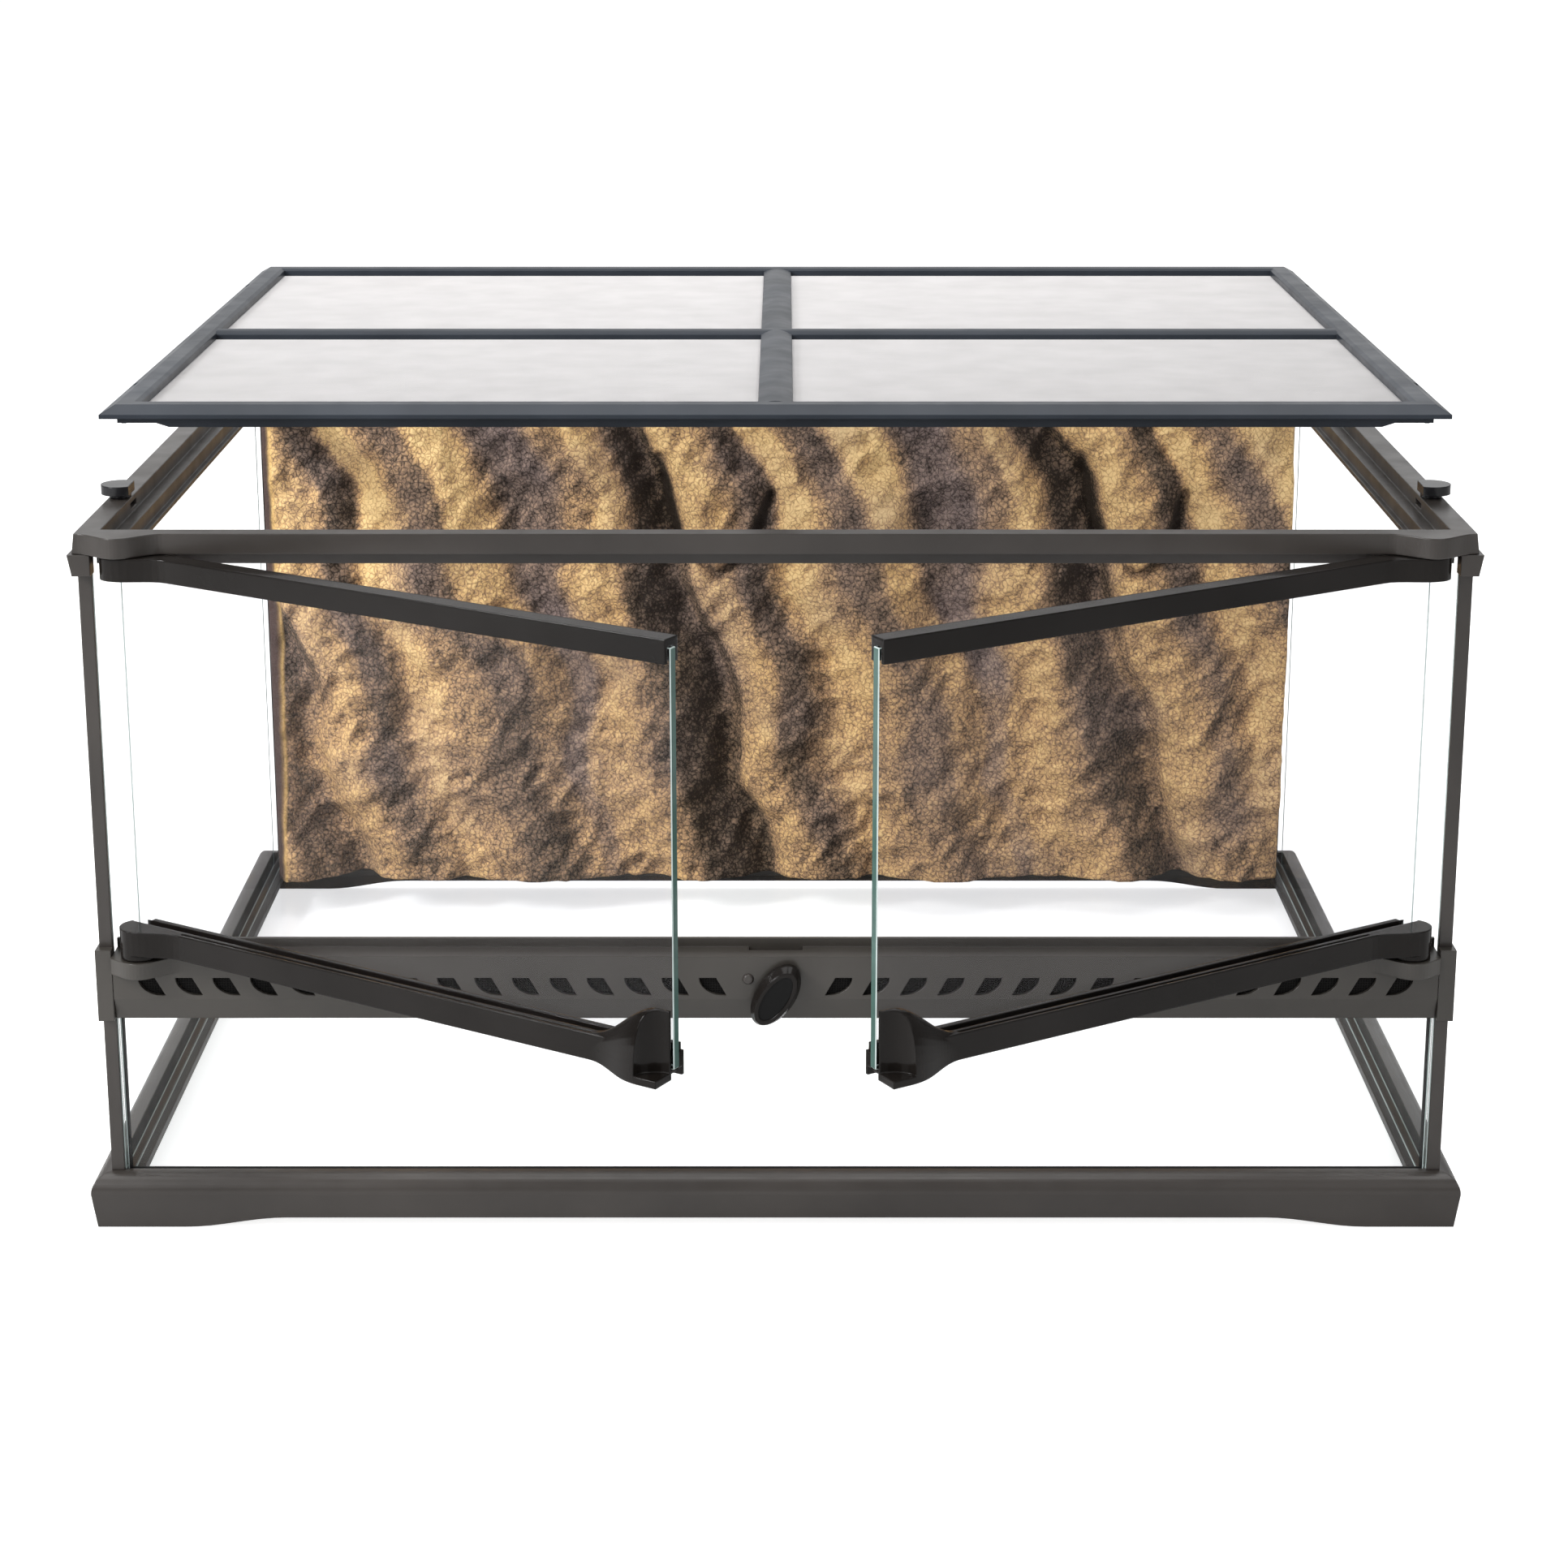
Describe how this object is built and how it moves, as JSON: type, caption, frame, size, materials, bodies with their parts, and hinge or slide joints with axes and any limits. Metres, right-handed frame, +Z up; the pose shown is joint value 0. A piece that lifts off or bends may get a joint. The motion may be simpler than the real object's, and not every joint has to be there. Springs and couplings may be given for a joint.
{
  "type": "reptile terrarium",
  "caption": "Low glass terrarium with two swinging front doors, a turn latch, a vent band, a lift-off screen lid with turn locks and a rock relief rear panel.",
  "frame": {"origin": "centre of the case's footprint, on the surface that its four feet stand on", "axes": "+X to the right seen from the front, +Y from the doors to the rear, +Z up"},
  "size_m": [0.621, 0.6192, 0.3765],
  "materials": {
    "case_plastic": "satin black injection moulding with a fine grain",
    "door_plastic": "semi-gloss black injection moulding",
    "lid_plastic": "satin blue-black injection moulding",
    "pane": "clear float glass with seamed edges",
    "silicone": "black silicone sealant",
    "screen_wire": "fine woven stainless wire",
    "steel": "bright turned steel",
    "rock_foam": "coarse painted foam with an ochre and brown rock relief"
  },
  "bodies": {
    "enclosure": {"base_frame": "case_plastic", "floor_glass": "pane", "left_glass": "pane", "right_glass": "pane", "rear_glass": "pane", "front_glass": "pane", "front_left_post": "case_plastic", "front_right_post": "case_plastic", "silicone_seams": "silicone", "vent_band": "case_plastic", "left_band_cap": "case_plastic", "right_band_cap": "case_plastic", "vent_screen": "screen_wire", "band_rivet": "case_plastic", "lower_pivot_pins": "steel", "upper_pivot_pins": "steel", "top_frame": "case_plastic", "corner_sockets": "case_plastic", "rock_background": "rock_foam"},
    "left_door": {"left_door_glass": "pane", "left_door_top_rail": "door_plastic", "left_door_bottom_rail": "door_plastic", "left_door_catch": "door_plastic"},
    "right_door": {"right_door_glass": "pane", "right_door_top_rail": "door_plastic", "right_door_bottom_rail": "door_plastic", "right_door_catch": "door_plastic"},
    "latch": {"latch_knob": "door_plastic", "latch_knob_inset": "door_plastic", "latch_spindle": "steel", "latch_cam": "steel", "latch_screw": "steel"},
    "lid": {"lid_frame": "lid_plastic", "lid_screen_front_left": "screen_wire", "lid_screen_front_right": "screen_wire", "lid_screen_rear_left": "screen_wire", "lid_screen_rear_right": "screen_wire"},
    "front_left_lock": {"lock_front_left": "lid_plastic"},
    "front_right_lock": {"lock_front_right": "lid_plastic"},
    "rear_left_lock": {"lock_rear_left": "lid_plastic"},
    "rear_right_lock": {"lock_rear_right": "lid_plastic"},
    "left_shutter": {"left_inlet_shutter": "case_plastic"},
    "right_shutter": {"right_inlet_shutter": "case_plastic"}
  },
  "joints": [
    {"name": "left_door_swing", "type": "hinge", "parent": "enclosure", "child": "left_door", "pos_m": [-0.283, -0.2315, 0.22], "axis": [0, 0, -1], "range_deg": [-31.3, 78.7]},
    {"name": "right_door_swing", "type": "hinge", "parent": "enclosure", "child": "right_door", "pos_m": [0.283, -0.2315, 0.22], "axis": [0, 0, 1], "range_deg": [-31.3, 78.7]},
    {"name": "latch_turn", "type": "hinge", "parent": "enclosure", "child": "latch", "pos_m": [0, -0.2232, 0.113], "axis": [0, 1, 0], "range_deg": [0, 57]},
    {"name": "lid_lift", "type": "slide", "parent": "enclosure", "child": "lid", "axis": [0, 0, 1], "range_m": [-0.055, 0.15]},
    {"name": "front_left_lock_turn", "type": "hinge", "parent": "enclosure", "child": "front_left_lock", "pos_m": [-0.297, -0.156, 0.32], "axis": [0, 0, -1], "range_deg": [0, 90]},
    {"name": "front_right_lock_turn", "type": "hinge", "parent": "enclosure", "child": "front_right_lock", "pos_m": [0.297, -0.156, 0.32], "axis": [0, 0, 1], "range_deg": [0, 90]},
    {"name": "rear_left_lock_turn", "type": "hinge", "parent": "enclosure", "child": "rear_left_lock", "pos_m": [-0.297, 0.1495, 0.32], "axis": [0, 0, -1], "range_deg": [0, 90]},
    {"name": "rear_right_lock_turn", "type": "hinge", "parent": "enclosure", "child": "rear_right_lock", "pos_m": [0.297, 0.1495, 0.32], "axis": [0, 0, 1], "range_deg": [0, 90]},
    {"name": "left_shutter_slide", "type": "slide", "parent": "enclosure", "child": "left_shutter", "axis": [-1, 0, 0], "range_m": [0, 0.00925]},
    {"name": "right_shutter_slide", "type": "slide", "parent": "enclosure", "child": "right_shutter", "axis": [1, 0, 0], "range_m": [0, 0.00925]}
  ]
}
